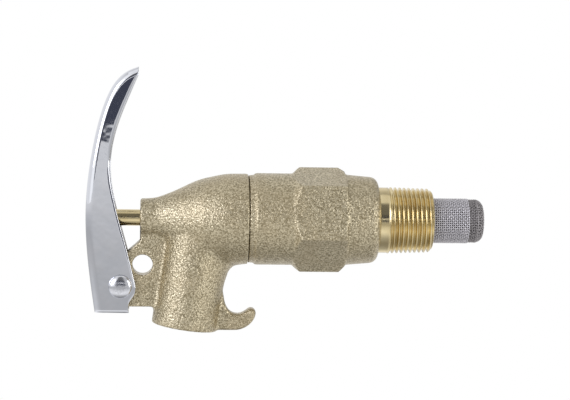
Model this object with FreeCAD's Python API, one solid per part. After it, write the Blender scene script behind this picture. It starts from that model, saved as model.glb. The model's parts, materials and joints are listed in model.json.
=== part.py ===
"""Self-closing brass drum faucet with a swivelling inlet adapter, in millimetres.

+X runs along the inlet axis from the lever to the strainer, +Z is up, and the origin is the
centre of the small end face of the tapered inlet thread.
"""
import FreeCAD, Part
import math
import os

from FreeCAD import Vector

os.makedirs("parts", exist_ok=True)

# Inlet adapter, from the small end of the thread towards the lever
thread_length = 17.6
thread_big_r = 13.33
thread_taper = 1.0 / 32.0
thread_end_chamfer = 1.3
thread_pitch = 25.4 / 14.0
thread_depth = 1.25
thread_crest = 0.2
thread_root = 0.2
thread_grooves = 8
thread_end_land = 2.5
neck_length = 4.2
neck_r = 13.1
taper_length = 13.2
taper_small_r = 17.0
taper_big_r = 18.15
taper_round = 3.4
hex_length = 21.2
hex_flats = 36.8
hex_turn_deg = 12.8
hex_end_bevel = 3.2
hex_bevel_inset = 0.2
hex_corner_chamfer = 2.4
barrel_length = 15.0
barrel_r = 18.3
land_length = 2.3
land_r = 17.5
barrel_round = 0.7

# Bores of the adapter
inlet_bore_r = 10.4
inlet_bore_length = 25.0
chamber_r = 13.0
chamber_cone_length = 3.0
lip_thickness = 5.2
lip_clearance = 0.3
socket_depth = 6.3

# Swivel joint
seam_gap = 0.3
spigot_r = 14.0
swivel_clearance = 0.05
thrust_washer_thickness = 0.7
thrust_gap = 0.1
swivel_groove_width = 2.4
swivel_ring_wire_r = 0.95
swivel_groove_setback = 1.6
thrust_washer_inset = 0.2
screw_r = 8.0
screw_bore_r = 6.0
screw_flange_thickness = 3.0
screw_flange_r = 10.1
screw_thread_length = 12.2
screw_slot_width = 2.4
screw_slot_depth = 1.6
screw_slot_margin = 0.6
seat_bead_height = 0.6
seat_bead_inner_r = 6.6
seat_bead_width = 0.8

# Faucet body casting; the spout is set from the swivel face
body_length = 42.8
body_r = 18.0
body_band_length = 4.8
boss_r = 7.7
boss_length = 5.0
boss_edge_round = 0.8
spout_r = 13.1
spout_bore_r = 10.0
spout_bore_length = 30.0
spout_core_r = 10.8
spout_reach = 44.0
spout_tilt_deg = 8.0
spout_offset = 18.7
spout_rim_round = 0.5
spout_blend = 4.5
web_thickness = 9.5
web_end_r = 8.35
web_top_drop = 1.3
web_blend = 1.8
chamber_clearance = 1.0

# S-shaped shoulder, as shares of its length and of its rise from the boss to the body
shoulder_steps = [(0.0, 0.0), (0.21, 0.22), (0.39, 0.51), (0.57, 0.775), (0.79, 0.955), (1.0, 1.0)]

# Lock hole, set from the lever pivot
lock_hole_r = 4.1
lock_hole_dx = 8.65
lock_hole_dz = 8.35

# Pail hook on the spout
hook_thickness = 7.0
hook_edge_round = 1.6
hook_blend = 1.0

# Lever and its pivot, set out from the front face of the boss and up from the spout's outlet
pivot_dx = 7.5
pivot_dz = 16.72
lever_width = 14.5
lever_sheet = 1.5
lever_bend_r = 2.4
lever_foot_overrun = 6.0
rivet_r = 2.4
rivet_head_r = 4.7
rivet_head_height = 2.1
rivet_tail_r = 4.1
rivet_tail_height = 1.3
pivot_clearance = 0.05
rivet_head_gap = 0.1
lever_washer_r = 6.0
lever_washer_gap = 0.2

# Push rod and valve head
rod_r = 3.25
rod_bore_clearance = 0.05
rod_tip_gap = 0.1
rod_tip_dome_r = 6.0
stem_r = 2.6
stem_thread_r = 2.0
stem_o_ring_wire_r = 0.8
stem_groove_width = 2.0
stem_groove_setback = 2.6
stem_groove_pitch = 3.6
stem_land_length = 17.2
stem_cone_length = 1.0
stem_fit = 0.03
o_ring_floor_gap = 0.02
seat_gap = 0.05
disc_r = 8.0
disc_thickness = 2.5
disc_washer_r = 4.5
disc_washer_thickness = 0.8
holder_wall = 0.9
holder_rim = 1.7
holder_base = 2.5
holder_boss_r = 5.3
holder_boss_length = 2.0
lock_washer_r = 3.9
lock_washer_thickness = 0.8
lock_washer_split = 0.5
nut_flats = 7.0
nut_thickness = 3.2
nut_bevel = 0.6
stem_end_past_nut = 1.0

# Valve spring and its retainer
spring_wire_r = 0.6
spring_mean_r = 7.0
spring_turns = 7.0
spring_closed_pitch = 1.32
retainer_thickness = 2.0
retainer_setback = 1.0
retainer_hub_r = 2.2
retainer_hole_r = 2.5
retainer_holes = 6
retainer_hole_circle_r = 5.6
clip_wire = 1.0
clip_depth = 0.8
clip_radial = 1.6
clip_gap_deg = 40.0

# Strainer and flame arrester
strainer_r = 9.05
strainer_length = 21.2
mesh_thickness = 0.3
mesh_layer_gap = 0.05
outer_mesh_length = 14.4
mesh_insert = 9.0
collar_length = 7.0
collar_setback = 3.0
strainer_end_round = 3.4
mesh_gap_rows = 6
mesh_gaps_round = 16
mesh_wire = 0.9
mesh_ridge = 0.12

# How far a cutting tool or a buried end runs past the face it meets
overrun = 1.0

# Stations along the inlet axis
x_neck = -thread_length
x_face = x_neck - neck_length
x_hex_right = x_face - taper_length
x_hex_left = x_hex_right - hex_length
x_barrel_left = x_hex_left - barrel_length
x_adapter_left = x_barrel_left - land_length
x_body_right = x_adapter_left - seam_gap
x_front = x_body_right - body_length
x_socket_floor = x_adapter_left + socket_depth
x_lip_right = x_socket_floor + lip_thickness
x_spigot_end = x_socket_floor - thrust_gap - thrust_washer_thickness
x_flange_left = x_lip_right + thrust_gap + thrust_washer_thickness
x_flange_right = x_flange_left + screw_flange_thickness
x_seat = x_flange_right + seat_bead_height
x_screw_end = x_body_right - screw_thread_length
x_disc = x_seat + seat_gap
x_holder_floor = x_disc + disc_thickness
x_holder_back = x_holder_floor + holder_base
x_holder_boss = x_holder_back + holder_boss_length
x_nut = x_holder_boss + lock_washer_thickness
x_stem_end = x_nut + nut_thickness + stem_end_past_nut
x_retainer = -inlet_bore_length + retainer_setback
x_spout = x_body_right - spout_offset
x_pivot = x_front - pivot_dx
z_outlet = -spout_reach * math.cos(math.radians(spout_tilt_deg))
z_pivot = z_outlet + pivot_dz

# Side view of the lever as offsets from the pivot, from the thumb tip down
lever_back = [
    (6.4, 86.9), (1.9, 85.0), (-2.3, 81.3), (-5.8, 75.3), (-8.9, 66.3),
    (-11.6, 54.0), (-14.0, 31.5), (-12.8, 8.3), (-10.15, -10.6),
]
lever_rim = [
    (6.2, 83.4), (3.5, 76.9), (0.4, 69.3), (-2.6, 60.4), (-4.5, 46.8),
    (-2.4, 32.0), (2.5, 14.1), (6.1, -0.4),
]
lever_ear = [(5.6, -3.2), (3.6, -6.4)]
lever_foot = (3.5, -10.6)

# Side view of the pail hook as offsets from the centre of the spout's outlet
hook_inner = [(15.0, 15.5), (15.8, 11.8), (16.8, 8.4), (18.7, 6.2), (21.7, 5.5), (24.0, 6.3), (25.3, 7.3)]
hook_tip = [(27.4, 7.7), (28.6, 5.6)]
hook_outer = [(27.4, 2.6), (24.4, 0.0), (20.0, -1.1)]
hook_root = [(10.0, -1.1), (10.0, 15.5)]


def edge_line(start, end):
    return Part.LineSegment(start, end).toShape()


def curve_through(points, **tangents):
    curve = Part.BSplineCurve()
    curve.interpolate(Points=points, **tangents)
    return curve.toShape()


def revolved(edges):
    """Turn a closed chain of edges in the XZ plane about the inlet axis."""
    face = Part.Face(Part.Wire(edges))
    return face.revolve(Vector(0, 0, 0), Vector(1, 0, 0), 360)


def turned(points):
    """Turn a closed outline of (x, r) corners about the inlet axis."""
    corners = [Vector(x, 0, r) for x, r in points]
    return revolved(
        [edge_line(corners[i - 1], corners[i]) for i in range(len(corners))]
    )


def rod(x_start, x_end, radius):
    return Part.makeCylinder(
        radius, x_end - x_start, Vector(x_start, 0, 0), Vector(1, 0, 0)
    )


def ring(x_start, x_end, inner_r, outer_r):
    return rod(x_start, x_end, outer_r).cut(rod(x_start, x_end, inner_r))


def torus(x, mean_r, wire_r):
    return Part.makeTorus(mean_r, wire_r, Vector(x, 0, 0), Vector(1, 0, 0))


def plate(edges, thickness):
    """Extrude a closed chain of edges in the XZ plane to both sides of it."""
    face = Part.Face(Part.Wire(edges))
    face.translate(Vector(0, -thickness / 2, 0))
    return face.extrude(Vector(0, thickness, 0))


def cross_pin(x, z, radius, y_start, y_end):
    return Part.makeCylinder(
        radius, y_end - y_start, Vector(x, y_start, z), Vector(0, 1, 0)
    )


def edge_middle(edge):
    half = (edge.FirstParameter + edge.LastParameter) / 2
    return edge.valueAt(half)


def lies_on(point, solid):
    return Part.Vertex(point).distToShape(solid.Shells[0])[0] < 1e-4


def blend(first, second, radius, z_least=-1000.0, z_most=1000.0):
    """Join two solids and round the edges where their skins meet, between two heights."""
    joined = first.fuse(second).removeSplitter()
    joined = joined.Solids[0]
    meeting = []
    for edge in joined.Edges:
        middle = edge_middle(edge)
        if z_least < middle.z < z_most and lies_on(middle, first) and lies_on(middle, second):
            meeting.append(edge)
    return joined.makeFillet(radius, meeting)


def round_edges(solid, radius, wanted):
    return solid.makeFillet(radius, [e for e in solid.Edges if wanted(e)])


def edge_at_x(edge, x):
    box = edge.BoundBox
    return abs(box.XMin - x) < 1e-3 and abs(box.XMax - x) < 1e-3


def edge_at_side(edge, half_width):
    """True for an edge that lies in one of the two side planes of a plate."""
    box = edge.BoundBox
    flat = box.YLength < 1e-3
    return flat and abs(abs(box.YMin) - half_width) < 1e-3


def hexagon_bar(x_start, x_end, flats, turn_deg):
    """Hexagonal bar along the inlet axis, with one flat turned up from the -Y side."""
    corner_r = flats / 2 / math.cos(math.pi / 6)
    corners = []
    for k in range(7):
        angle = math.radians(180 - turn_deg + 30 + 60 * k)
        corners.append(Vector(x_start, corner_r * math.cos(angle), corner_r * math.sin(angle)))
    face = Part.Face(Part.makePolygon(corners))
    return face.extrude(Vector(x_end - x_start, 0, 0))


def hexagon_nut():
    """Hexagon with a turned bevel on the left and chamfered top and bottom corners on the right."""
    corner_r = hex_flats / 2 / math.cos(math.pi / 6)
    bevelled = turned([
        (x_hex_left, 0),
        (x_hex_left, barrel_r - hex_bevel_inset),
        (x_hex_left + hex_end_bevel, corner_r),
        (x_hex_right, corner_r),
        (x_hex_right, 0),
    ])
    chamfered_r = corner_r - hex_corner_chamfer
    side = Part.Face(Part.makePolygon([
        Vector(x_hex_left, -corner_r, -corner_r),
        Vector(x_hex_right - hex_corner_chamfer, -corner_r, -corner_r),
        Vector(x_hex_right, -corner_r, -chamfered_r),
        Vector(x_hex_right, -corner_r, chamfered_r),
        Vector(x_hex_right - hex_corner_chamfer, -corner_r, corner_r),
        Vector(x_hex_left, -corner_r, corner_r),
        Vector(x_hex_left, -corner_r, -corner_r),
    ]))
    slab = side.extrude(Vector(0, 2 * corner_r, 0))
    slab.rotate(Vector(0, 0, 0), Vector(1, 0, 0), -hex_turn_deg)
    nut = hexagon_bar(x_hex_left, x_hex_right, hex_flats, hex_turn_deg)
    return nut.common(bevelled).common(slab)


def thread_r(x):
    """Radius of the thread's crests at x."""
    return thread_big_r - (x - x_neck) * thread_taper


def thread_ridges():
    """Points of the thread's grooves, as rings at the pitch, from the neck to the small end."""
    points = []
    for k in reversed(range(thread_grooves)):
        centre = -thread_end_land - (k + 0.5) * thread_pitch
        top = (thread_pitch - thread_crest) / 2
        root = thread_root / 2
        for dx, depth in ((-top, 0), (-root, thread_depth), (root, thread_depth), (top, 0)):
            points.append((centre + dx, thread_r(centre + dx) - depth))
    return points


def adapter_outside():
    """Cast outside with its neck and its ridged thread cone."""
    thread_end_r = thread_r(0) - thread_end_chamfer
    shell = turned([
        (x_adapter_left, 0),
        (x_adapter_left, land_r),
        (x_barrel_left, land_r),
        (x_barrel_left, barrel_r),
        (x_hex_left, barrel_r),
        (x_hex_right, taper_big_r),
        (x_face, taper_small_r),
        (x_face, 0),
    ])
    shell = round_edges(shell, taper_round, lambda e: edge_at_x(e, x_face))
    shell = round_edges(
        shell, barrel_round,
        lambda e: edge_at_x(e, x_barrel_left) and e.BoundBox.YLength > 2 * barrel_r - 0.1,
    )
    thread = turned(
        [(x_face - overrun, 0), (x_face - overrun, neck_r), (x_neck, neck_r), (x_neck, thread_big_r)]
        + thread_ridges()
        + [(-thread_end_chamfer, thread_r(-thread_end_chamfer)), (0, thread_end_r), (0, 0)]
    )
    return shell.fuse([thread, hexagon_nut()]).removeSplitter()


def adapter_bores():
    """Socket for the spigot, the lip, the cored valve chamber and the inlet bore."""
    x_chamber_end = -inlet_bore_length - chamber_cone_length
    socket_r = spigot_r + swivel_clearance
    lip_r = screw_r + lip_clearance
    return turned([
        (x_adapter_left - overrun, 0),
        (x_adapter_left - overrun, socket_r),
        (x_socket_floor, socket_r),
        (x_socket_floor, lip_r),
        (x_lip_right, lip_r),
        (x_lip_right, chamber_r),
        (x_chamber_end, chamber_r),
        (-inlet_bore_length, inlet_bore_r),
        (overrun, inlet_bore_r),
        (overrun, 0),
    ])


def clip_groove_r():
    return inlet_bore_r + clip_depth


def clip_start():
    return x_retainer + retainer_thickness


def inlet_adapter():
    groove = rod(clip_start(), clip_start() + clip_wire + rod_bore_clearance, clip_groove_r())
    return adapter_outside().cut(adapter_bores()).cut(groove)


def body_profile():
    """Boss, S-shaped shoulder and barrel, as one closed outline to turn."""
    x_shoulder = x_front + boss_length
    x_barrel = x_body_right - body_band_length
    length = x_barrel - x_shoulder
    rise = body_r - boss_r
    shoulder = [
        Vector(x_shoulder + length * along, 0, boss_r + rise * up)
        for along, up in shoulder_steps
    ]
    along_axis = Vector(1, 0, 0)
    corners = [
        Vector(x_front, 0, 0), Vector(x_front, 0, boss_r),
        Vector(x_body_right, 0, body_r), Vector(x_body_right, 0, 0),
    ]
    return [
        edge_line(corners[0], corners[1]),
        edge_line(corners[1], shoulder[0]),
        curve_through(shoulder, InitialTangent=along_axis, FinalTangent=along_axis),
        edge_line(Vector(x_barrel, 0, body_r), corners[2]),
        edge_line(corners[2], corners[3]),
        edge_line(corners[3], corners[0]),
    ]


def spout_axis():
    tilt = math.radians(spout_tilt_deg)
    return Vector(-math.sin(tilt), 0, -math.cos(tilt))


def spout_outlet():
    return Vector(x_spout, 0, 0) + spout_axis() * spout_reach


def spout_outside():
    """Tube with a rounded rim, and a ball at its root that stays inside a full-size body."""
    root = Vector(x_spout, 0, 0)
    tube = Part.makeCylinder(spout_r, spout_reach, root, spout_axis())
    tube.rotate(root, spout_axis(), 90)
    tube = round_edges(tube, spout_rim_round, on_spout_rim)
    return tube.fuse(Part.makeSphere(spout_r, root)).removeSplitter()


def on_spout_rim(edge):
    """True for the edges in the plane of the spout's outlet."""
    return abs((edge_middle(edge) - spout_outlet()).dot(spout_axis())) < 1e-3


def lever_web():
    """Flat web that carries the lever: a round end at the pivot, tangent to its top edge."""
    pivot = Vector(x_pivot, 0, z_pivot)
    top = Vector(x_front, 0, -boss_r - web_top_drop)
    reach = top - pivot
    swing = math.atan2(reach.z, reach.x) + math.acos(web_end_r / reach.Length)
    halfway = (swing + math.pi * 1.5) / 2

    def on_end(angle):
        return pivot + Vector(math.cos(angle), 0, math.sin(angle)) * web_end_r

    touch = on_end(swing)
    bottom = on_end(math.pi * 1.5)
    corner = Vector(x_spout, 0, bottom.z)
    inner_top = Vector(x_spout, 0, 0)
    front_top = Vector(x_front, 0, 0)
    edges = [
        edge_line(top, touch),
        Part.Arc(touch, on_end(halfway), bottom).toShape(),
        edge_line(bottom, corner),
        edge_line(corner, inner_top),
        edge_line(inner_top, front_top),
        edge_line(front_top, top),
    ]
    return plate(edges, web_thickness)


def pail_hook():
    """Hook for a pail's bail, a rounded plate that grows out of the spout."""
    outlet = spout_outlet()

    def place(points):
        return [outlet + Vector(dx, 0, dz) for dx, dz in points]

    inner = place(hook_inner)
    tip = place(hook_tip)
    outer = place(hook_outer)
    root = place(hook_root)
    edges = [
        curve_through(inner),
        Part.Arc(inner[-1], tip[0], tip[1]).toShape(),
        curve_through([tip[1]] + outer, FinalTangent=Vector(-1, 0, 0)),
        edge_line(outer[-1], root[0]),
        edge_line(root[0], root[1]),
        edge_line(root[1], inner[0]),
    ]
    hook = plate(edges, hook_thickness)
    x_clear = outlet.x + spout_r + hook_edge_round / 2
    return round_edges(
        hook, hook_edge_round,
        lambda e: edge_at_side(e, hook_thickness / 2) and e.BoundBox.Center.x > x_clear,
    )


def swivel_groove():
    start = x_spigot_end - swivel_groove_setback - swivel_groove_width
    depth_r = spigot_r - 2 * swivel_ring_wire_r
    return ring(start, start + swivel_groove_width, depth_r, spigot_r + overrun)


def waterway():
    """Spout bore, the wider core above it, the chamber and the screw's hole, as one tool."""
    root = Vector(x_spout, 0, 0)
    bore = Part.makeCylinder(spout_bore_r, spout_reach + overrun, root, spout_axis())
    core = Part.makeCylinder(spout_core_r, spout_reach - spout_bore_length, root, spout_axis())
    chamber = Part.makeSphere(spout_core_r, root)
    way_in = rod(x_spout, x_screw_end, screw_r + chamber_clearance)
    screw_hole = rod(x_screw_end - overrun, x_spigot_end + overrun, screw_r)
    return bore.fuse([core, chamber, way_in, screw_hole])


def body_casting():
    """One casting: body, spout, lever web and pail hook with blended corners, then its holes."""
    casting = blend(revolved(body_profile()), spout_outside(), spout_blend)
    casting = blend(casting, lever_web(), web_blend)
    z_hook_top = z_outlet + hook_inner[1][1]
    casting = blend(casting, pail_hook(), hook_blend, z_outlet + hook_blend, z_hook_top)
    casting = round_edges(casting, boss_edge_round, lambda e: edge_at_x(e, x_front))
    spigot = rod(x_body_right - overrun, x_spigot_end, spigot_r)
    casting = casting.fuse(spigot).removeSplitter()
    rod_hole = rod(x_front - overrun, x_spout, rod_r + rod_bore_clearance)
    pivot_hole = cross_pin(x_pivot, z_pivot, rivet_r, -web_thickness, web_thickness)
    lock_hole = cross_pin(
        x_pivot + lock_hole_dx, z_pivot + lock_hole_dz, lock_hole_r, -web_thickness, web_thickness
    )
    return casting.cut([waterway(), rod_hole, pivot_hole, lock_hole, swivel_groove()])


def swivel_screw():
    """Hollow flanged screw that holds the body to the adapter and carries the valve seat."""
    x_bead = x_flange_right
    bead_outer_r = seat_bead_inner_r + seat_bead_width
    screw = turned([
        (x_screw_end, screw_bore_r),
        (x_screw_end, screw_r),
        (x_flange_left, screw_r),
        (x_flange_left, screw_flange_r),
        (x_bead, screw_flange_r),
        (x_bead, bead_outer_r),
        (x_seat, bead_outer_r),
        (x_seat, seat_bead_inner_r),
        (x_bead, screw_bore_r),
    ])
    slot_inner = bead_outer_r + screw_slot_margin
    slot = Part.makeBox(
        screw_slot_depth + overrun, screw_slot_width, screw_flange_r,
        Vector(x_bead - screw_slot_depth, -screw_slot_width / 2, slot_inner),
    )
    other = slot.copy()
    other.rotate(Vector(0, 0, 0), Vector(1, 0, 0), 180)
    return screw.cut([slot, other])


def swivel_o_ring():
    start = x_spigot_end - swivel_groove_setback - swivel_groove_width
    mean_r = spigot_r - swivel_ring_wire_r + o_ring_floor_gap
    return torus(start + swivel_groove_width / 2, mean_r, swivel_ring_wire_r)


def spigot_thrust_washer():
    inner_r = screw_r + lip_clearance
    outer_r = spigot_r - thrust_washer_inset
    return ring(x_spigot_end, x_spigot_end + thrust_washer_thickness, inner_r, outer_r)


def screw_thrust_washer():
    inner_r = screw_r + swivel_clearance
    return ring(x_flange_left - thrust_washer_thickness, x_flange_left, inner_r, screw_flange_r)


def stem_groove_starts():
    first = x_front + stem_groove_setback
    return [first + k * stem_groove_pitch for k in range(2)]


def stem_ring_mean_r():
    return rod_r + rod_bore_clearance / 2 - stem_o_ring_wire_r


def push_rod():
    """Turned rod: domed tip, two ring grooves, a thinner neck and a threaded end."""
    x_tip = x_pivot + lever_inner_face() + rod_tip_gap
    x_step = x_front + stem_land_length
    x_washer = x_disc - disc_washer_thickness
    stem = rod(x_tip, x_step, rod_r)
    dome = Part.makeSphere(rod_tip_dome_r, Vector(x_tip + rod_tip_dome_r, 0, 0))
    dome = dome.fuse(rod(x_tip + rod_tip_dome_r, x_step, rod_r))
    stem = stem.common(dome)
    groove_r = stem_ring_mean_r() - stem_o_ring_wire_r - o_ring_floor_gap
    for start in stem_groove_starts():
        stem = stem.cut(ring(start, start + stem_groove_width, groove_r, rod_r + overrun))
    neck = turned([
        (x_step, 0),
        (x_step, rod_r),
        (x_step + stem_cone_length, stem_r),
        (x_washer, stem_r),
        (x_washer, 0),
    ])
    end = rod(x_washer, x_stem_end, stem_thread_r)
    return stem.fuse([neck, end]).removeSplitter()


def lever_inner_face():
    """Distance from the pivot to the inside of the lever's back, at the height of the rod."""
    outline = curve_through([Vector(dx, 0, dz) for dx, dz in lever_back])
    level = edge_line(Vector(-body_length, 0, -z_pivot), Vector(0, 0, -z_pivot))
    crossing = outline.distToShape(level)[1][0][0]
    return crossing.x + lever_sheet


def stem_o_rings():
    rings = [
        torus(start + stem_groove_width / 2, stem_ring_mean_r(), stem_o_ring_wire_r)
        for start in stem_groove_starts()
    ]
    return Part.Compound(rings)


def stem_hole_r():
    return stem_thread_r + stem_fit


def disc_washer():
    return ring(x_disc - disc_washer_thickness, x_disc, stem_hole_r(), disc_washer_r)


def seat_disc():
    return ring(x_disc, x_holder_floor, stem_hole_r(), disc_r)


def disc_holder():
    """Cup that holds the seat disc, with a boss behind it that centres the spring."""
    outer_r = disc_r + holder_wall
    return turned([
        (x_holder_floor, stem_hole_r()),
        (x_holder_floor, disc_r),
        (x_holder_floor - holder_rim, disc_r),
        (x_holder_floor - holder_rim, outer_r),
        (x_holder_back, outer_r),
        (x_holder_back, holder_boss_r),
        (x_holder_boss, holder_boss_r),
        (x_holder_boss, stem_hole_r()),
    ])


def lock_washer():
    whole = ring(x_holder_boss, x_nut, stem_hole_r(), lock_washer_r)
    split = Part.makeBox(
        lock_washer_thickness, lock_washer_split, lock_washer_r,
        Vector(x_holder_boss, -lock_washer_split / 2, 0),
    )
    return whole.cut(split)


def stem_nut():
    x_end = x_nut + nut_thickness
    nut = hexagon_bar(x_nut, x_end, nut_flats, 0)
    corner_r = nut_flats / 2 / math.cos(math.pi / 6)
    bevel = turned([
        (x_nut, 0),
        (x_nut, corner_r),
        (x_end - nut_bevel, corner_r),
        (x_end, corner_r - nut_bevel),
        (x_end, 0),
    ])
    return nut.common(bevel).cut(rod(x_nut, x_end, stem_hole_r()))


def valve_spring():
    """Compression spring with a closed turn at each end."""
    x_start = x_holder_back + spring_wire_r
    x_end = x_retainer - spring_wire_r
    open_length = x_end - x_start - 2 * spring_closed_pitch
    turns = spring_turns + 2
    per_turn = 8
    points = []
    for k in range(int(turns * per_turn) + 1):
        turn = k / per_turn
        if turn < 1:
            x = x_start + spring_closed_pitch * turn
        elif turn < turns - 1:
            x = x_start + spring_closed_pitch + open_length * (turn - 1) / spring_turns
        else:
            x = x_end - spring_closed_pitch * (turns - turn)
        angle = 2 * math.pi * turn
        points.append(Vector(x, spring_mean_r * math.cos(angle), spring_mean_r * math.sin(angle)))
    path = Part.Wire([curve_through(points)])
    section = Part.Wire([Part.Circle(points[0], points[1] - points[0], spring_wire_r).toShape()])
    return path.makePipeShell([section], True, True)


def spring_retainer():
    """Perforated disc that the spring pushes on."""
    disc = rod(x_retainer, x_retainer + retainer_thickness, inlet_bore_r)
    holes = [rod(x_retainer, x_retainer + retainer_thickness, retainer_hub_r)]
    for k in range(retainer_holes):
        hole = rod(x_retainer, x_retainer + retainer_thickness, retainer_hole_r)
        hole.translate(Vector(0, 0, retainer_hole_circle_r))
        hole.rotate(Vector(0, 0, 0), Vector(1, 0, 0), 360 / retainer_holes * k)
        holes.append(hole)
    return disc.cut(holes)


def retainer_clip():
    """Split ring in the groove behind the spring retainer."""
    whole = ring(clip_start(), clip_start() + clip_wire, clip_groove_r() - clip_radial, clip_groove_r())
    width = 2 * clip_groove_r() * math.sin(math.radians(clip_gap_deg / 2))
    gap = Part.makeBox(
        clip_wire, width, clip_groove_r() + overrun, Vector(clip_start(), -width / 2, 0)
    )
    return whole.cut(gap)


def strainer_collar():
    """Turned ferrule that holds the mesh in the inlet bore."""
    x_end = -collar_setback
    return ring(x_end - collar_length, x_end, strainer_r, inlet_bore_r)


def strainer_outer_mesh():
    """Outer wrap of wire mesh, as a wall with raised rings and rows of gaps."""
    inner_r = strainer_r - mesh_thickness
    wall_r = strainer_r - mesh_ridge
    row_pitch = outer_mesh_length / (mesh_gap_rows + 0.5)
    outline = [(-mesh_insert, inner_r), (-mesh_insert, wall_r)]
    for row in range(mesh_gap_rows + 1):
        x = row_pitch * row
        outline += [(x, wall_r), (x, strainer_r), (x + mesh_wire, strainer_r), (x + mesh_wire, wall_r)]
    outline += [(outer_mesh_length, wall_r), (outer_mesh_length, inner_r)]
    tube = turned(outline)
    gap_width = 2 * math.pi * strainer_r / mesh_gaps_round - mesh_wire
    cutters = []
    for row in range(mesh_gap_rows):
        x = row_pitch * row + mesh_wire
        for k in range(mesh_gaps_round):
            gap = Part.makeBox(
                row_pitch - mesh_wire, gap_width, mesh_thickness + 2 * overrun,
                Vector(x, -gap_width / 2, inner_r - overrun),
            )
            gap.rotate(Vector(0, 0, 0), Vector(1, 0, 0), 360 / mesh_gaps_round * k)
            cutters.append(gap)
    return tube.cut(cutters)


def strainer_inner_mesh():
    """Fine inner sleeve of the flame arrester with its folded, rounded end."""
    outer_r = strainer_r - mesh_thickness - mesh_layer_gap
    inner_r = outer_r - mesh_thickness
    cup = rod(-mesh_insert - overrun, strainer_length, outer_r)
    cup = round_edges(cup, strainer_end_round, lambda e: edge_at_x(e, strainer_length))
    hollow = rod(-mesh_insert - 2 * overrun, strainer_length - mesh_thickness, inner_r)
    hollow = round_edges(
        hollow, strainer_end_round - mesh_thickness,
        lambda e: edge_at_x(e, strainer_length - mesh_thickness),
    )
    return cup.cut(hollow)


def lever():
    """Pressed steel channel, open towards the body, pinched to a thumb tip at the top."""
    pivot = Vector(x_pivot, 0, z_pivot)

    def place(points):
        return [pivot + Vector(dx, 0, dz) for dx, dz in points]

    back = place(lever_back)
    rim = place(lever_rim)
    ear = place(lever_ear)
    foot = place([lever_foot])[0]
    outline = [
        curve_through(back),
        edge_line(back[-1], foot),
        edge_line(foot, ear[1]),
        Part.Arc(ear[1], ear[0], rim[-1]).toShape(),
        curve_through(rim),
        edge_line(rim[0], back[0]),
    ]
    half = lever_width / 2
    block = plate(outline, lever_width)
    block = round_edges(
        block, lever_bend_r,
        lambda e: edge_at_side(e, half) and lies_along(edge_middle(e), back),
    )
    hollow = lever_hollow(back)
    pivot_hole = cross_pin(pivot.x, pivot.z, rivet_r + pivot_clearance, -lever_width, lever_width)
    return block.cut([hollow, pivot_hole])


def lies_along(point, back):
    flat = Vector(point.x, 0, point.z)
    return Part.Vertex(flat).distToShape(curve_through(back))[0] < 1e-3


def lever_hollow(back):
    """Space inside the channel: the back moved in by the sheet, and open at the rim."""
    inside = []
    curve = curve_through(back)
    for point in back:
        at = curve.Curve.parameter(point)
        along = curve.Curve.tangent(at)[0]
        inward = Vector(-along.z, 0, along.x)
        inside.append(point + inward * lever_sheet)
    x_open = x_spout
    below = inside[-1] + (inside[-1] - inside[-2]).normalize() * lever_foot_overrun
    edges = [
        curve_through(inside),
        edge_line(inside[-1], below),
        edge_line(below, Vector(x_open, 0, below.z)),
        edge_line(Vector(x_open, 0, below.z), Vector(x_open, 0, inside[0].z)),
        edge_line(Vector(x_open, 0, inside[0].z), inside[0]),
    ]
    width = lever_width - 2 * lever_sheet
    hollow = plate(edges, width)
    return round_edges(
        hollow, lever_bend_r - lever_sheet,
        lambda e: edge_at_side(e, width / 2) and lies_along(edge_middle(e), inside),
    )


def dome(y_base, radius, height, direction):
    """Rivet head: the cap of a ball, rising from y_base towards direction (1 or -1)."""
    ball_r = (radius * radius + height * height) / (2 * height)
    centre = Vector(x_pivot, y_base - direction * (ball_r - height), z_pivot)
    y_low = min(y_base, y_base + direction * (height + overrun))
    slice_of = cross_pin(x_pivot, z_pivot, radius, y_low, y_low + height + overrun)
    return Part.makeSphere(ball_r, centre).common(slice_of)


def lever_rivet():
    half = lever_width / 2 + rivet_head_gap
    shank = cross_pin(x_pivot, z_pivot, rivet_r, -half, half)
    head = dome(-half, rivet_head_r, rivet_head_height, -1)
    tail = dome(half, rivet_tail_r, rivet_tail_height, 1)
    return shank.fuse([head, tail]).removeSplitter()


def lever_washers():
    """One washer each side of the web, clear of the lever's flanges."""
    start = web_thickness / 2
    end = lever_width / 2 - lever_sheet - lever_washer_gap
    outer = cross_pin(x_pivot, z_pivot, lever_washer_r, start, end)
    washer = outer.cut(cross_pin(x_pivot, z_pivot, rivet_r, start, end))
    other = washer.mirror(Vector(0, 0, 0), Vector(0, 1, 0))
    return Part.Compound([washer, other])


nodes = {
    "inlet_adapter": inlet_adapter,
    "spring_retainer": spring_retainer,
    "retainer_clip": retainer_clip,
    "strainer_collar": strainer_collar,
    "strainer_outer_mesh": strainer_outer_mesh,
    "strainer_inner_mesh": strainer_inner_mesh,
    "body_casting": body_casting,
    "swivel_screw": swivel_screw,
    "swivel_o_ring": swivel_o_ring,
    "spigot_thrust_washer": spigot_thrust_washer,
    "screw_thrust_washer": screw_thrust_washer,
    "lever_rivet": lever_rivet,
    "lever_washers": lever_washers,
    "push_rod": push_rod,
    "stem_o_rings": stem_o_rings,
    "disc_washer": disc_washer,
    "seat_disc": seat_disc,
    "disc_holder": disc_holder,
    "lock_washer": lock_washer,
    "stem_nut": stem_nut,
    "valve_spring": valve_spring,
    "lever": lever,
}

for name, make in nodes.items():
    shape = make()
    shape.exportStep("parts/" + name + ".step")
    print(name, len(shape.Solids), "solids,", round(shape.Volume, 1), "mm3, valid:", shape.isValid())
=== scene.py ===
import json
import math

import bmesh
import bpy
import numpy as np
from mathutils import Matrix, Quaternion, Vector

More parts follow.
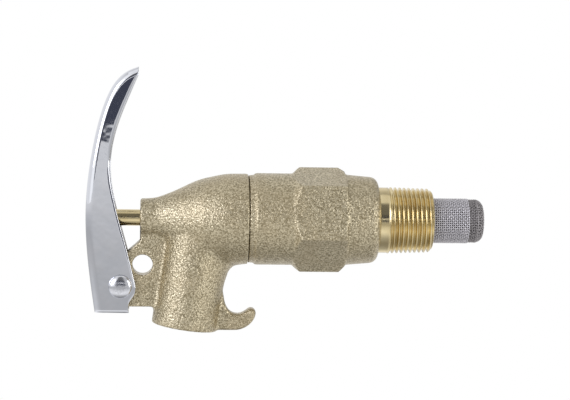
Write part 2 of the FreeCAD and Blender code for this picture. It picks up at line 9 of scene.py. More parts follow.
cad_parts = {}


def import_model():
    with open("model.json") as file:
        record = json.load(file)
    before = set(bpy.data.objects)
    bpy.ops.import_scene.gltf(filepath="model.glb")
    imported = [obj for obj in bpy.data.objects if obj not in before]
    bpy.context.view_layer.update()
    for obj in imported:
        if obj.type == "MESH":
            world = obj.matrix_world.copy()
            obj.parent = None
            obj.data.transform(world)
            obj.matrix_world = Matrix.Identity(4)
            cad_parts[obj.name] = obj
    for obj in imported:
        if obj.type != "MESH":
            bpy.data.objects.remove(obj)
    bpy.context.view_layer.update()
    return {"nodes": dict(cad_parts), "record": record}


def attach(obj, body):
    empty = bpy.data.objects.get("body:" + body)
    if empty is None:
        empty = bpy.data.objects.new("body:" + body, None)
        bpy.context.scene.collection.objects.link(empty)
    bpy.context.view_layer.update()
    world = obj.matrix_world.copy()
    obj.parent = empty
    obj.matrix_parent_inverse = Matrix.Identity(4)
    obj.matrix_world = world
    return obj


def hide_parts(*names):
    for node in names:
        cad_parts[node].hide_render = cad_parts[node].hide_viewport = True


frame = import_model()

# Everything below is in millimetres in the part's own frame until put() turns it into metres
MM = 0.001

# Stations along the inlet axis
X_FACE = -21.8
X_NECK = -17.6
PIVOT = Vector((-124.1, 0.0, -26.852))

# Inlet thread: 14 turns to the inch on a 1:16 taper
THREAD_PITCH = 25.4 / 14
THREAD_BIG_R = 13.33
THREAD_TAPER = 1 / 32
THREAD_DEPTH = 1.35
THREAD_CREST = 0.16
THREAD_ROOT = 0.10
THREAD_PHASE = -1.5
THREAD_NOSE_DROP = 1.85
THREAD_RUNOUT_TURNS = 1.1
THREAD_RUNOUT_DEPTH = 0.35
THREAD_SEGMENTS = 144
THREAD_STATIONS_PER_TURN = 14
NECK_R = 13.1
NECK_BURIED = 0.5
BORE_R = 10.43

# Lever channel, as offsets from the pivot, from the thumb tip down
LEVER_BACK = [
    (6.4, 86.9), (1.9, 85.0), (-2.3, 81.3), (-5.8, 75.3), (-8.9, 66.3),
    (-11.6, 54.0), (-14.0, 31.5), (-12.8, 8.3), (-10.15, -10.6),
]
LEVER_RIM = [
    (6.2, 83.4), (3.5, 76.9), (0.4, 69.3), (-2.6, 60.4), (-4.5, 46.8),
    (-2.4, 32.0), (2.5, 14.1), (6.1, -0.4), (5.6, -3.2), (3.6, -6.4), (3.5, -10.6),
]
EAR_POINT = 7
LEVER_WIDTH = 14.5
LEVER_SHEET = 1.5
LEVER_BEND_R = 3.1
RIM_UPPER_R = 1.1
RIM_LOWER_R = 0.4
RIM_BLEND_FROM_Z = 38
RIM_BLEND_REACH = 16
RIM_INNER_R = 0.3
RIM_ROLL = 0.06
RIM_ROLL_REACH = 0.8
LEVER_STATIONS = 240
FOOT_ROLL = 0.6
FOOT_STATIONS = 2

# Rivet through the lever and the web
RIVET_HEAD_R = 4.7
RIVET_HEAD_H = 2.1
RIVET_TAIL_R = 4.1
RIVET_TAIL_H = 1.3
RIVET_SHANK_R = 2.4
RIVET_SEAT_Y = 7.35
DOME_STEPS = 24
LATHE_SEGMENTS = 96

# Woven wire of the strainer
OUTER_R = 9.05
OUTER_FROM = -9.0
OUTER_TO = 14.4
OUTER_PITCH = 0.80
OUTER_WIRE_R = 0.20
INNER_R = 8.72
INNER_FROM = 12.0
INNER_TO = 21.2
INNER_ROUND = 3.2
INNER_PITCH = 0.72
INNER_WIRE_R = 0.17
WIRE_SIDES = 5
CAP_SET_BACK = 0.70
CAP_CROWN = 0.3
CAP_PITCH = INNER_PITCH * 0.9
LINER_R = 8.0
LINER_WALL = 0.4
LINER_ROUND_STEPS = 8

# Cast surfaces
CAST_VOXEL = 0.42
CAST_OVERLAP = 0.05
BODY_SMOOTHING = 5
ADAPTER_SMOOTHING = 3

# Dressing of the body casting: place (x, z), reach and how far the surface stands out there
BODY_DRESSING = [
    ((-80.5, -20.5), 4.5, 1.1), ((-108.5, 9.5), 4.0, 0.55), ((-88.0, 17.5), 6.0, -0.30),
]


def put(points):
    return [Vector(p) * MM for p in points]


def clamp(share):
    return min(max(share, 0.0), 1.0)


def shade_smooth(mesh):
    mesh.polygons.foreach_set("use_smooth", [True] * len(mesh.polygons))


def make_object(name, points, faces):
    mesh = bpy.data.meshes.new(name)
    mesh.from_pydata(put(points), [], faces)
    mesh.validate()
    mesh.update()
    shade_smooth(mesh)
    piece = bpy.data.objects.new(name, mesh)
    bpy.context.scene.collection.objects.link(piece)
    return piece


def recalculate_normals(piece):
    bm = bmesh.new()
    bm.from_mesh(piece.data)
    bmesh.ops.remove_doubles(bm, verts=bm.verts, dist=1e-7)
    bmesh.ops.recalc_face_normals(bm, faces=bm.faces)
    bm.to_mesh(piece.data)
    bm.free()


def apply_modifiers(piece):
    depsgraph = bpy.context.evaluated_depsgraph_get()
    mesh = bpy.data.meshes.new_from_object(piece.evaluated_get(depsgraph))
    old = piece.data
    piece.modifiers.clear()
    piece.data = mesh
    bpy.data.meshes.remove(old)
    shade_smooth(mesh)


def cast_copy(node, name, smoothing, keep_left_of=None):
    """A CAD casting with its edges softened as sand casting leaves them."""
    source = frame["nodes"][node]
    mesh = source.data.copy()
    mesh.materials.clear()
    piece = bpy.data.objects.new(name, mesh)
    bpy.context.scene.collection.objects.link(piece)
    bm = bmesh.new()
    bm.from_mesh(mesh)
    bmesh.ops.remove_doubles(bm, verts=bm.verts, dist=1e-7)
    if keep_left_of is not None:
        cut = bmesh.ops.bisect_plane(
            bm, geom=bm.verts[:] + bm.edges[:] + bm.faces[:],
            plane_co=(keep_left_of * MM, 0, 0), plane_no=(1, 0, 0), clear_outer=True,
        )
        rims = [e for e in cut["geom_cut"] if isinstance(e, bmesh.types.BMEdge)]
        bmesh.ops.triangle_fill(bm, edges=rims, use_beauty=True)
    bm.to_mesh(mesh)
    bm.free()
    remesh = piece.modifiers.new("remesh", "REMESH")
    remesh.mode = "VOXEL"
    remesh.voxel_size = CAST_VOXEL * MM
    smooth = piece.modifiers.new("smooth", "SMOOTH")
    smooth.factor = 0.5
    smooth.iterations = smoothing
    apply_modifiers(piece)
    return piece


def spline_through(points, count):
    """Natural cubic spline through points in the XZ plane, sampled evenly along its length."""
    p = np.array(points, float)
    chord = np.hypot(*np.diff(p, axis=0).T)
    t = np.concatenate([[0], np.cumsum(chord)])
    n = len(p)
    a = np.zeros((n, n))
    b = np.zeros((n, 2))
    a[0, 0] = 1
    a[-1, -1] = 1
    for i in range(1, n - 1):
        a[i, i - 1] = chord[i - 1]
        a[i, i] = 2 * (chord[i - 1] + chord[i])
        a[i, i + 1] = chord[i]
        b[i] = 6 * ((p[i + 1] - p[i]) / chord[i] - (p[i] - p[i - 1]) / chord[i - 1])
    bend = np.linalg.solve(a, b)

    def at(values):
        k = np.clip(np.searchsorted(t, values, side="right") - 1, 0, n - 2)
        h = chord[k][:, None]
        left = (t[k + 1] - values)[:, None]
        right = (values - t[k])[:, None]
        return (
            bend[k] * left**3 / (6 * h) + bend[k + 1] * right**3 / (6 * h)
            + (p[k] / h - bend[k] * h / 6) * left + (p[k + 1] / h - bend[k + 1] * h / 6) * right
        )

    fine = at(np.linspace(0, t[-1], 4000))
    length = np.concatenate([[0], np.cumsum(np.hypot(*np.diff(fine, axis=0).T))])
    wanted = np.linspace(0, length[-1], count)
    return np.column_stack([np.interp(wanted, length, fine[:, i]) for i in range(2)])


def arc(centre, radius, start_deg, end_deg, steps):
    points = []
    for k in range(steps + 1):
        angle = math.radians(start_deg + (end_deg - start_deg) * k / steps)
        points.append((centre[0] + radius * math.cos(angle), centre[1] + radius * math.sin(angle)))
    return points


def rolled_in(u, depth, rim_r):
    """How far the pressed flank leans inwards at u, near its rim."""
    return RIM_ROLL * clamp((u - (depth - rim_r - RIM_ROLL_REACH)) / RIM_ROLL_REACH) ** 2


def channel_section(depth, rim_r):
    """One half of the channel's section as (u, y), u from the back towards the rim."""
    section = plain_section(depth, rim_r)
    return [(u, y + (rolled_in(u, depth, rim_r) if y < -LEVER_BEND_R else 0.0)) for u, y in section]


def plain_section(depth, rim_r):
    """The section before its rim is rolled in; the shares say where the points of a straight run lie."""
    half = LEVER_WIDTH / 2
    inner = half - LEVER_SHEET
    bend_inner = LEVER_BEND_R - LEVER_SHEET
    back = [(0.0, 0.0), (0.0, -(half - LEVER_BEND_R) * 0.5), (0.0, -(half - LEVER_BEND_R) * 0.97)]
    bend = arc((LEVER_BEND_R, -(half - LEVER_BEND_R)), LEVER_BEND_R, 180, 270, 14)
    flat = depth - rim_r - LEVER_BEND_R
    flank = [(LEVER_BEND_R + flat * s, -half) for s in (0.03, 0.2, 0.4)]
    flank += [
        (depth - rim_r - RIM_ROLL_REACH * s, -half) for s in (1.02, 0.8, 0.6, 0.4, 0.2, 0.02)
        if rim_r + RIM_ROLL_REACH * s < depth - LEVER_BEND_R - flat * 0.42
    ]
    edge = arc((depth - rim_r, -half + rim_r), rim_r, 270, 360, 8)
    edge += arc((depth - RIM_INNER_R, -inner - RIM_INNER_R), RIM_INNER_R, 0, 90, 5)
    flat = depth - RIM_INNER_R - LEVER_SHEET - bend_inner
    inside = [(depth - RIM_INNER_R - flat * s, -inner) for s in (0.03, 0.3, 0.7, 0.97)]
    corner = arc(
        (LEVER_SHEET + bend_inner, -(inner - bend_inner)), bend_inner, 270, 180, 6
    )
    floor = [(LEVER_SHEET, -(inner - bend_inner) * s) for s in (0.97, 0.5, 0.0)]
    return back + bend + flank + edge + inside + corner + floor


def lever_channel():
    """Pressed channel lofted from its back to its rim, closed at the thumb tip and the foot."""
    back = spline_through(LEVER_BACK, LEVER_STATIONS)
    down_to_ear = LEVER_STATIONS * 9 // 10
    rim = np.concatenate([
        spline_through(LEVER_RIM[:EAR_POINT + 1], down_to_ear)[:-1],
        spline_through(LEVER_RIM[EAR_POINT:], LEVER_STATIONS - down_to_ear + 1),
    ])
    points = []
    rows = []
    for station, ((bx, bz), (rx, rz)) in enumerate(zip(back, rim)):
        rolled = FOOT_ROLL * (max(station + 1 + FOOT_STATIONS - LEVER_STATIONS, 0) / FOOT_STATIONS) ** 2
        depth = math.hypot(rx - bx, rz - bz)
        along = ((rx - bx) / depth, (rz - bz) / depth)
        upper_share = clamp((bz - RIM_BLEND_FROM_Z) / RIM_BLEND_REACH)
        half = channel_section(depth, RIM_LOWER_R + (RIM_UPPER_R - RIM_LOWER_R) * upper_share)
        loop = half + [(u, -y) for u, y in reversed(half[1:-1])]
        row = []
        for u, y in loop:
            row.append(len(points))
            out = max(abs(y) - LEVER_WIDTH / 2 + LEVER_BEND_R, 0) / LEVER_BEND_R
            across = y - math.copysign(rolled * out, y)
            points.append((PIVOT.x + bx + along[0] * u, across, PIVOT.z + bz + along[1] * u))
        rows.append(row)
    faces = []
    for upper, lower in zip(rows[:-1], rows[1:]):
        count = len(upper)
        for k in range(count):
            m = (k + 1) % count
            faces.append((upper[k], upper[m], lower[m], lower[k]))
    faces += end_strip(rows[0]) + end_strip(rows[-1])
    piece = make_object("lever_channel", points, faces)
    recalculate_normals(piece)
    weigh_normals(piece)
    return piece


def end_strip(row):
    """Close one end of the channel between its outer and its inner outline."""
    half = len(row) // 2
    ring = row + [row[0]]
    return zip_strip(ring[:half + 1]) + zip_strip(ring[:half - 1:-1])


def zip_strip(side):
    """Quads between the outer and the inner half of one side of the section."""
    faces = []
    lo, hi = 0, len(side) - 1
    while hi - lo > 2:
        faces.append((side[lo], side[lo + 1], side[hi - 1], side[hi]))
        lo += 1
        hi -= 1
    if hi - lo == 2:
        faces.append((side[lo], side[lo + 1], side[hi]))
    return faces


def weigh_normals(piece):
    """Let the large flat runs keep their shading beside tight bends."""
    modifier = piece.modifiers.new("weighted", "WEIGHTED_NORMAL")
    modifier.mode = "FACE_AREA"
    modifier.weight = 60


def ring_faces(rings, segments, rings_close, base=0):
    """Quads between rings that follow one another, and from the last to the first if they close."""
    faces = []
    for i in range(rings if rings_close else rings - 1):
        a = base + i * segments
        b = base + (i + 1) % rings * segments
        for k in range(segments):
            m = (k + 1) % segments
            faces.append((a + k, a + m, b + m, b + k))
    return faces


def lathe(name, outline, axis_point, axis):
    """Turn an open outline of (along, r) about an axis."""
    axis = Vector(axis).normalized()
    side = axis.orthogonal().normalized()
    other = axis.cross(side)
    points = []
    for along, r in outline:
        for k in range(LATHE_SEGMENTS):
            angle = 2 * math.pi * k / LATHE_SEGMENTS
            out = side * math.cos(angle) + other * math.sin(angle)
            points.append(Vector(axis_point) + axis * along + out * r)
    piece = make_object(name, points, ring_faces(len(outline), LATHE_SEGMENTS, rings_close=False))
    recalculate_normals(piece)
    return piece


def dome_profile(radius, height):
    """Flattened dome with a tight edge, from its seat to its crown, as (height, r)."""
    profile = [(0.0, radius * 0.9), (0.0, radius)]
    for k in range(1, DOME_STEPS + 1):
        angle = math.pi / 2 * k / DOME_STEPS
        profile.append((height * math.sin(angle) ** 0.9, radius * math.cos(angle) ** 0.86 + 1e-4))
    return profile


def rivet():
    head = [(RIVET_SEAT_Y + h, r) for h, r in dome_profile(RIVET_HEAD_R, RIVET_HEAD_H)]
    tail = [(-RIVET_SEAT_Y - h, r) for h, r in reversed(dome_profile(RIVET_TAIL_R, RIVET_TAIL_H))]
    shank = [(-RIVET_SEAT_Y, RIVET_SHANK_R), (RIVET_SEAT_Y, RIVET_SHANK_R)]
    return lathe("pivot_rivet", tail + shank + head, PIVOT, (0, -1, 0))


def thread_radius(x, turn):
    """Radius of the threaded surface at x, where turn is the share of a turn about the axis."""
    crest = THREAD_BIG_R - (x - X_NECK) * THREAD_TAPER
    phase = ((x - THREAD_PHASE) / THREAD_PITCH - turn) % 1.0
    from_crest = 1 - abs(phase - 0.5) * 2
    fall = clamp((from_crest - THREAD_CREST) / (1 - THREAD_CREST - THREAD_ROOT))
    full = clamp((x - X_NECK) / (THREAD_RUNOUT_TURNS * THREAD_PITCH))
    depth = THREAD_DEPTH * (THREAD_RUNOUT_DEPTH + (1 - THREAD_RUNOUT_DEPTH) * full)
    nose = THREAD_BIG_R - THREAD_NOSE_DROP - x
    return min(crest - depth * fall, nose)


def inlet_thread():
    """Machined neck and the helical taper thread, with the bore behind them."""
    buried_end = X_FACE - NECK_BURIED
    stations = [buried_end, X_FACE + 0.6, X_NECK - 1.1, X_NECK - 0.05]
    x = X_NECK
    while x < -1e-6:
        stations.append(x)
        x += THREAD_PITCH / THREAD_STATIONS_PER_TURN
    stations.append(0.0)
    turns = [k / THREAD_SEGMENTS for k in range(THREAD_SEGMENTS)]
    rings = [[(x, NECK_R if x < X_NECK else thread_radius(x, turn)) for turn in turns] for x in stations]
    rings += [[(x, BORE_R)] * THREAD_SEGMENTS for x in (0.0, buried_end)]
    points = []
    for ring in rings:
        for turn, (x, r) in zip(turns, ring):
            angle = 2 * math.pi * turn
            points.append((x, -r * math.cos(angle), -r * math.sin(angle)))
    piece = make_object("inlet_thread", points, ring_faces(len(rings), THREAD_SEGMENTS, rings_close=True))
    recalculate_normals(piece)
    return piece


def add_wire(points, faces, path, radius, closed):
    """Sweep a small round section along a path of (point, outward direction)."""
    base = len(points)
    count = len(path)
    for i, (point, out) in enumerate(path):
        before = path[i - 1][0] if i > 0 or closed else point
        after = path[(i + 1) % count][0] if i < count - 1 or closed else point
        along = (after - before).normalized()
        out = (out - along * out.dot(along)).normalized()
        side = along.cross(out)
        for k in range(WIRE_SIDES):
            angle = 2 * math.pi * k / WIRE_SIDES
            points.append(point + (out * math.cos(angle) + side * math.sin(angle)) * radius)
    faces += ring_faces(count, WIRE_SIDES, closed, base)


def sleeve_point(x, angle, radius):
    out = Vector((0, -math.cos(angle), math.sin(angle)))
    return Vector((x, 0, 0)) + out * radius, out


def woven_sleeve(name, radius, x_from, x_to, pitch, wire_r):
    """Plain weave wrapped to a tube: lengthwise wires and hoops that pass over and under."""
    around = 2 * round(math.pi * radius / pitch)
    rows = round((x_to - x_from) / pitch)
    step = (x_to - x_from) / rows
    points = []
    faces = []
    for k in range(around):
        angle = 2 * math.pi * k / around
        path = []
        for i in range(2 * rows + 1):
            sway = math.cos(math.pi * i / 2) if i % 2 == 0 else 0.0
            lift = wire_r * sway * (1 if k % 2 else -1)
            path.append(sleeve_point(x_from + step * i / 2, angle, radius - 2 * wire_r + lift))
        add_wire(points, faces, path, wire_r, False)
    for i in range(rows + 1):
        path = []
        for k in range(2 * around):
            sway = math.cos(math.pi * k / 2) if k % 2 == 0 else 0.0
            crossing = 1 if (i % 2 == 0) else -1
            lift = wire_r * sway * crossing
            path.append(sleeve_point(x_from + step * i, math.pi * k / around, radius - 2 * wire_r + lift))
        add_wire(points, faces, path, wire_r, True)
    return make_object(name, points, faces)


def cap_height(r):
    """How far the rounded end of the inner sleeve stands at radius r from its axis."""
    outer = INNER_R - INNER_WIRE_R
    flat = outer - INNER_ROUND
    crown = INNER_TO - CAP_SET_BACK
    if r <= flat:
        return crown + CAP_CROWN * (1 - (r / flat) ** 2)
    drop = min((r - flat) / INNER_ROUND, 1.0)
    return crown - INNER_ROUND * (1 - math.sqrt(max(1 - drop * drop, 0.0)))


def woven_cap(name, pitch, wire_r):
    """Square weave drawn over the rounded end of the sleeve."""
    reach = INNER_R - wire_r
    rows = int(reach / pitch)
    points = []
    faces = []
    for turned in (False, True):
        for i in range(-rows, rows + 1):
            across = i * pitch
            half = math.sqrt(max(reach * reach - across * across, 0.0))
            count = max(int(half / pitch), 1)
            path = []
            for k in range(-2 * count, 2 * count + 1):
                along = half * k / (2 * count)
                r = math.hypot(across, along)
                sway = (1 if (k // 2 + i) % 2 else -1) if k % 2 == 0 else 0
                lift = wire_r * sway * (-1 if turned else 1)
                y, z = (across, along) if turned else (along, across)
                path.append((Vector((cap_height(r) + lift, y, z)), Vector((1, 0, 0))))
            add_wire(points, faces, path, wire_r, False)
    return make_object(name, points, faces)


def folded_sleeve():
    """Fine inner sleeve with its folded and rounded end, as one piece."""
    sleeve = woven_sleeve(
        "strainer_fine_mesh", INNER_R, INNER_FROM, INNER_TO - INNER_ROUND, INNER_PITCH, INNER_WIRE_R
    )
    cap = woven_cap("cap", CAP_PITCH, INNER_WIRE_R)
    join_into(sleeve, cap)
    return sleeve


def liner():
    """Packed inner turns of the fine mesh, coloured near black as painted shade: a dark ground behind the
    weave.
    """
    end = INNER_TO - 4 * INNER_WIRE_R - CAP_CROWN
    corner = arc((end - INNER_ROUND, LINER_R - INNER_ROUND), INNER_ROUND, 90, 0, LINER_ROUND_STEPS)
    outline = [(OUTER_FROM, LINER_R - LINER_WALL), (OUTER_FROM, LINER_R), *corner, (end, 0.01)]
    return lathe("strainer_inner_turns_painted_shade", outline, (0, 0, 0), (1, 0, 0))


def dress_casting(piece, places):
    """Swell or hollow the surface of a casting a little near lines that run along Y."""
    mesh = piece.data
    count = len(mesh.vertices)
    points = np.empty(count * 3)
    normals = np.empty(count * 3)
    mesh.vertices.foreach_get("co", points)
    mesh.vertices.foreach_get("normal", normals)
    points = points.reshape(count, 3)
    stand_out = np.zeros(count)
    for (x, z), reach, amount in places:
        away = np.hypot(points[:, 0] / MM - x, points[:, 2] / MM - z) / reach
        stand_out += amount * MM * np.exp(-away**2)
    points += normals.reshape(count, 3) * stand_out[:, None]
    mesh.vertices.foreach_set("co", points.ravel())
    mesh.update()


def join_into(piece, other):
    bm = bmesh.new()
    bm.from_mesh(piece.data)
    bm.from_mesh(other.data)
    bm.to_mesh(piece.data)
    bm.free()
    bpy.data.objects.remove(other)


# Materials


class Graph:
    """Short ways to add nodes to a node tree."""

    def __init__(self, tree):
        self.tree = tree
        self.tree.nodes.clear()

    def node(self, kind, **settings):
        made = self.tree.nodes.new(kind)
        for key, value in settings.items():
            setattr(made, key, value)
        return made

    def link(self, source, target):
        self.tree.links.new(source, target)

    def math(self, operation, *values):
        made = self.node("ShaderNodeMath", operation=operation)
        for socket, value in zip(made.inputs, values):
            if isinstance(value, (int, float)):
                socket.default_value = value
            else:
                self.link(value, socket)
        return made.outputs[0]

    def remap(self, value, low, high, to_low, to_high, smooth=False):
        made = self.node("ShaderNodeMapRange")
        if smooth:
            made.interpolation_type = "SMOOTHSTEP"
        for key, number in zip(
            ("From Min", "From Max", "To Min", "To Max"), (low, high, to_low, to_high)
        ):
            made.inputs[key].default_value = number
        self.link(value, made.inputs["Value"])
        return made.outputs[0]

    def below(self, value, top, blur):
        """One up to the top, falling smoothly to zero over the blur."""
        return self.remap(value, top, top + blur, 1, 0, smooth=True)

    def blend(self, factor, first, second):
        made = self.node("ShaderNodeMix", data_type="RGBA")
        for socket, value in ((made.inputs[6], first), (made.inputs[7], second)):
            if isinstance(value, tuple):
                socket.default_value = (*value, 1)
            else:
                self.link(value, socket)
        self.link(factor, made.inputs[0])
        return made.outputs[2]

    def stops(self, value, points):
        """Grey levels at places from 0 to 1, with straight runs between them."""
        made = self.node("ShaderNodeValToRGB")
        ramp = made.color_ramp
        ramp.elements[0].position = points[0][0]
        ramp.elements[1].position = points[-1][0]
        for place, level in points[1:-1]:
            ramp.elements.new(place)
        for stop, (place, level) in zip(ramp.elements, points):
            stop.color = (level, level, level, 1)
        self.link(value, made.inputs[0])
        return made.outputs[0]


class Shader(Graph):
    """A material under construction: its node tree and its Principled shader."""

    def __init__(self, name, colour, metallic, roughness):
        self.material = bpy.data.materials.new(name)
        self.material.use_nodes = True
        super().__init__(self.material.node_tree)
        output = self.node("ShaderNodeOutputMaterial")
        self.shader = self.node("ShaderNodeBsdfPrincipled")
        self.shader.inputs["Base Color"].default_value = (*colour, 1)
        self.shader.inputs["Metallic"].default_value = metallic
        self.shader.inputs["Roughness"].default_value = roughness
        self.link(self.shader.outputs[0], output.inputs[0])
        self.place = self.node("ShaderNodeTexCoord").outputs["Object"]

    def noise(self, size_mm, detail=2.0, roughness=0.5, stretch=(1, 1, 1)):
        """Noise whose blobs are about size_mm across."""
        source = self.place
        if stretch != (1, 1, 1):
            mapping = self.node("ShaderNodeMapping")
            mapping.inputs["Scale"].default_value = stretch
            self.link(source, mapping.inputs["Vector"])
            source = mapping.outputs[0]
        made = self.node("ShaderNodeTexNoise")
        made.inputs["Scale"].default_value = 1 / (size_mm * MM)
        made.inputs["Detail"].default_value = detail
        made.inputs["Roughness"].default_value = roughness
        self.link(source, made.inputs["Vector"])
        return made.outputs["Fac"]

    def sum(self, first, second, weight=1.0):
        return self.math("MULTIPLY_ADD", second, weight, first)

    def bump(self, height, distance_mm, strength=1.0):
        made = self.node("ShaderNodeBump")
        made.inputs["Distance"].default_value = distance_mm * MM
        made.inputs["Strength"].default_value = strength
        self.link(height, made.inputs["Height"])
        self.link(made.outputs[0], self.shader.inputs["Normal"])
        self.link(made.outputs[0], self.shader.inputs["Coat Normal"])

    def gloss(self, weight, roughness, ior):
        """Second, whiter layer of reflections."""
        for key, value in (("Weight", weight), ("Roughness", roughness), ("IOR", ior)):
            self.shader.inputs[f"Coat {key}"].default_value = value

    def colour(self, source):
        self.link(source, self.shader.inputs["Base Color"])

    def roughness(self, source):
        self.link(source, self.shader.inputs["Roughness"])


def cast_brass():
    made = Shader("cast_brass", (0.5, 0.43, 0.27), 0.85, 0.42)
    grain = made.noise(0.66, 1.0, 0.6)
    coarse = made.noise(1.9, 2.0, 0.5)
    cloud = made.noise(14, 2.0, 0.5)
    tone = made.blend(made.remap(grain, 0.36, 0.64, 0, 1), (0.275, 0.22, 0.115), (0.73, 0.635, 0.43))
    tone = made.blend(made.remap(cloud, 0.42, 0.66, 0, 0.35), tone, (0.50, 0.40, 0.23))
    made.colour(tone)
    made.roughness(made.remap(grain, 0.3, 0.7, 0.48, 0.34))
    made.bump(made.sum(grain, coarse, 0.25), 0.34)
    made.gloss(0.5, 0.26, 1.9)
    return made.material


def machined_brass():
    made = Shader("machined_brass", (0.60, 0.50, 0.30), 1.0, 0.18)
    lines = made.noise(0.35, 2.0, 0.5, (1, 0.03, 0.03))
    cloud = made.noise(6, 2.0, 0.5)
    made.colour(made.blend(made.remap(cloud, 0.35, 0.7, 0, 1), (0.80, 0.68, 0.41), (0.68, 0.55, 0.30)))
    made.roughness(made.remap(cloud, 0.3, 0.7, 0.13, 0.22))
    made.bump(lines, 0.006)
    return made.material


def chrome():
    made = Shader("chrome_plate", (0.78, 0.79, 0.84), 1.0, 0.03)
    polish = made.noise(7, 2.0, 0.5)
    fine = made.noise(0.6, 2.0, 0.5)
    made.roughness(made.remap(fine, 0.3, 0.7, 0.02, 0.05))
    made.bump(made.sum(polish, fine, 0.006), 0.03)
    made.colour(made.blend(made.remap(polish, 0.3, 0.7, 0, 1), (0.76, 0.78, 0.84), (0.80, 0.81, 0.86)))
    return made.material


def mottled(name, colour, roughness, metallic, grain_mm, dark_share, spread, relief_mm):
    """A plain finish whose colour and gloss vary a little from place to place."""
    made = Shader(name, colour, metallic, roughness)
    grain = made.noise(grain_mm, 2.0, 0.5)
    darker = tuple(c * dark_share for c in colour)
    made.colour(made.blend(made.remap(grain, 0.3, 0.7, 0, 1), darker, colour))
    made.roughness(made.remap(grain, 0.3, 0.7, roughness + spread, roughness - 0.05))
    made.bump(grain, relief_mm)
    return made.material


def steel(name, colour, roughness):
    return mottled(name, colour, roughness, 1.0, 0.5, 0.8, 0.06, 0.01)


def polymer(name, colour, roughness):
    return mottled(name, colour, roughness, 0.0, 0.4, 0.88, 0.05, 0.008)


def dress(piece, material):
    piece.data.materials.clear()
    piece.data.materials.append(material)


def dress_nodes(materials):
    for row in frame["record"]["subparts"]:
        dress(frame["nodes"][row["node"]], materials[row["material_slot"]])


# Camera, lamps and surroundings

FIELD_WIDTH = 570 * 0.4
CAMERA_DISTANCE = 780.0
CAMERA_AZIMUTH = -3.9
CAMERA_ELEVATION = 4.4
CAMERA_ROLL = 0.94
AIM = Vector((-58.9, 0.0, 7.66))
SENSOR = 36.0


def direction(azimuth, elevation):
    """Unit vector from the part towards a place; azimuth 0 is in front of it, at -Y."""
    a = math.radians(azimuth)
    e = math.radians(elevation)
    return Vector((math.sin(a) * math.cos(e), -math.cos(a) * math.cos(e), math.sin(e)))


def camera():
    data = bpy.data.cameras.new("camera")
    data.sensor_width = SENSOR
    data.lens = SENSOR * CAMERA_DISTANCE / FIELD_WIDTH
    data.clip_start = 0.01
    data.clip_end = 20
    view = bpy.data.objects.new("camera", data)
    bpy.context.scene.collection.objects.link(view)
    back = direction(CAMERA_AZIMUTH, CAMERA_ELEVATION)
    view.location = (AIM + back * CAMERA_DISTANCE) * MM
    look = (-back).to_track_quat("-Z", "Y")
    roll = Quaternion((0, 0, 1), math.radians(CAMERA_ROLL))
    view.rotation_mode = "QUATERNION"
    view.rotation_quaternion = look @ roll
    bpy.context.scene.camera = view


# Soft boxes: name, azimuth, elevation, distance, width, height (metres), radiance and colour
SOFTBOXES = [
    ("left_softbox", -50, 18, 0.95, 0.42, 0.50, 4.1, (0.96, 0.99, 1.14)),
    ("right_softbox", 56, 12, 0.95, 0.36, 0.60, 3.2, (1, 1, 1)),
    ("top_softbox", 0, 86, 0.85, 1.10, 0.60, 0.35, (1, 1, 1)),
]


def softbox(name, azimuth, elevation, distance, width, height, radiance, colour):
    """Rectangular lamp aimed at the part; radiance is how bright its face looks."""
    data = bpy.data.lights.new(name, "AREA")
    data.shape = "RECTANGLE"
    data.size = width
    data.size_y = height
    data.energy = radiance * math.pi * width * height
    data.color = colour
    lamp = bpy.data.objects.new(name, data)
    bpy.context.scene.collection.objects.link(lamp)
    towards = direction(azimuth, elevation)
    lamp.location = AIM * MM + towards * distance
    lamp.rotation_mode = "QUATERNION"
    lamp.rotation_quaternion = towards.to_track_quat("Z", "Y")


# Studio that only reflections see, as levels by angle in degrees: a pale table below the part,
# a bright tent round it, and a dark gap round the camera with a bright slit and a shaded strip above
TABLE_EDGE = -2.66
TABLE_BLUR = 0.15
TABLE_LEVELS = [
    (-90, 0.26), (-62, 0.44), (-36, 1.0), (-20, 0.80), (-12, 0.52), (-7.5, 0.47), (-5.5, 0.56),
    (-3.5, 0.72), (90, 0.72),
]
TENT_LEVELS = [
    (-180, 0.9), (-150, 0.9), (-75, 0.85), (-55, 1.10), (-26, 1.05), (-18, 0.60), (18, 0.50),
    (35, 0.62), (70, 0.45), (110, 0.35), (180, 0.9),
]
GAP_HALF_WIDTH = 17.0
GAP_SIDE_BLUR = 4.0
GAP_TOP = 18.0
GAP_TOP_BLUR = 6.0
GAP_LEVEL = 0.055
GAP_TINT = (1.0, 1.08, 1.5)
SHADE_TOP = 58.0
SHADE_BLUR = 10.0
SHADE_LEVEL = 0.16
SLIT_ELEVATION = 7.5
SLIT_HALF_HEIGHT = 1.2
SLIT_BLUR = 0.5
SLIT_LEVEL = 1.3
ZENITH_FROM = 35
ZENITH_TO = 75
ZENITH_LEVEL = 0.46
ROOM_COLOUR = (0.62, 0.62, 0.63)
BACKDROP_COLOUR = (1.0, 1.0, 1.0)


def grey(level):
    return (level, level, level)


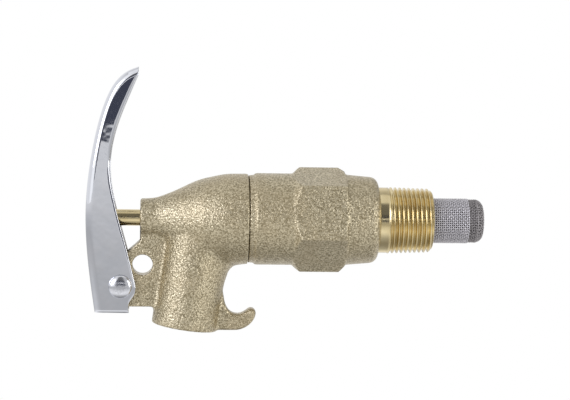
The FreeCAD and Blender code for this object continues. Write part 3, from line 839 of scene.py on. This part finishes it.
def world():
    """White to the camera; a studio with a dark gap round the camera in reflections."""
    made = bpy.data.worlds.new("studio")
    made.use_nodes = True
    graph = Graph(made.node_tree)
    output = graph.node("ShaderNodeOutputWorld")
    background = graph.node("ShaderNodeBackground")
    graph.link(background.outputs[0], output.inputs[0])
    rays = graph.node("ShaderNodeLightPath")
    split = graph.node("ShaderNodeSeparateXYZ")
    graph.link(graph.node("ShaderNodeTexCoord").outputs["Generated"], split.inputs[0])
    east, north, up = split.outputs
    azimuth = graph.math("DEGREES", graph.math("ARCTAN2", east, graph.math("MULTIPLY", north, -1)))
    elevation = graph.math("DEGREES", graph.math("ARCSINE", up))
    table = graph.stops(
        graph.remap(elevation, -90, 90, 0, 1), [((e + 90) / 180, level) for e, level in TABLE_LEVELS]
    )
    tent = graph.stops(
        graph.remap(azimuth, -180, 180, 0, 1), [((a + 180) / 360, level) for a, level in TENT_LEVELS]
    )
    overhead = graph.remap(elevation, ZENITH_FROM, ZENITH_TO, 0, 1, smooth=True)
    tent = graph.blend(overhead, tent, grey(ZENITH_LEVEL))
    in_front = graph.below(graph.math("ABSOLUTE", azimuth), GAP_HALF_WIDTH, GAP_SIDE_BLUR)
    from_slit = graph.math("ABSOLUTE", graph.math("SUBTRACT", elevation, SLIT_ELEVATION))
    for height, top, blur, colour in (
        (elevation, SHADE_TOP, SHADE_BLUR, grey(SHADE_LEVEL)),
        (elevation, GAP_TOP, GAP_TOP_BLUR, tuple(GAP_LEVEL * tint for tint in GAP_TINT)),
        (from_slit, SLIT_HALF_HEIGHT, SLIT_BLUR, grey(SLIT_LEVEL)),
    ):
        tent = graph.blend(graph.math("MULTIPLY", in_front, graph.below(height, top, blur)), tent, colour)
    above_table = graph.remap(elevation, TABLE_EDGE - TABLE_BLUR, TABLE_EDGE + TABLE_BLUR, 0, 1)
    studio = graph.blend(above_table, table, tent)
    seen = graph.blend(rays.outputs["Is Glossy Ray"], ROOM_COLOUR, studio)
    seen = graph.blend(rays.outputs["Is Camera Ray"], seen, BACKDROP_COLOUR)
    graph.link(seen, background.inputs[0])
    bpy.context.scene.world = made


def slot_materials():
    return {
        "cast_brass": cast_brass(),
        "machined_brass": machined_brass(),
        "chromed_steel": chrome(),
        "stainless_mesh": steel("stainless_mesh", (0.80, 0.78, 0.81), 0.42),
        "spring_steel": steel("spring_steel", (0.60, 0.60, 0.61), 0.28),
        "stainless_fasteners": steel("stainless_fasteners", (0.66, 0.66, 0.67), 0.25),
        "white_polymer": polymer("white_polymer", (0.86, 0.86, 0.84), 0.42),
        "rubber_seal": polymer("rubber_seal", (0.03, 0.03, 0.03), 0.55),
    }


def add_piece(piece, body, material, nodes):
    """Dress a piece, let it ride on its body and let it stand for its CAD nodes."""
    dress(piece, material)
    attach(piece, body)
    if nodes:
        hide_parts(*nodes)


def build():
    materials = slot_materials()
    # Darker copy of the stainless mesh for the fine sleeve: painted shade, not a different steel
    fine_mesh_painted_shade = steel("fine_mesh_painted_shade", (0.49, 0.465, 0.47), 0.42)
    # Near-black copy of the steel for the packed inner turns: painted shade behind the weave
    packed_mesh_painted_shade = steel("packed_mesh_painted_shade", (0.10, 0.095, 0.095), 0.6)
    rivet_steel = steel("rivet_steel", (0.80, 0.81, 0.86), 0.17)
    dress_nodes(materials)
    body_casting = cast_copy("body_casting", "cast_body", BODY_SMOOTHING)
    dress_casting(body_casting, BODY_DRESSING)
    adapter = cast_copy("inlet_adapter", "cast_adapter", ADAPTER_SMOOTHING, X_FACE + CAST_OVERLAP)
    for piece, body, slot, material, nodes in (
        (body_casting, "faucet_body", "cast_brass", None, ["body_casting"]),
        (adapter, "adapter", "cast_brass", None, ["inlet_adapter"]),
        (inlet_thread(), "adapter", "machined_brass", None, []),
        (lever_channel(), "lever", "chromed_steel", None, ["lever"]),
        (rivet(), "faucet_body", "chromed_steel", rivet_steel, ["lever_rivet"]),
        (
            woven_sleeve("strainer_coarse_mesh", OUTER_R, OUTER_FROM, OUTER_TO, OUTER_PITCH, OUTER_WIRE_R),
            "adapter", "stainless_mesh", None, ["strainer_outer_mesh"],
        ),
        (folded_sleeve(), "adapter", "stainless_mesh", fine_mesh_painted_shade, ["strainer_inner_mesh"]),
        (liner(), "adapter", "stainless_mesh", packed_mesh_painted_shade, []),
    ):
        add_piece(piece, body, material or materials[slot], nodes)


build()
camera()
world()
for row in SOFTBOXES:
    softbox(*row)
bpy.context.scene.view_settings.view_transform = "Standard"
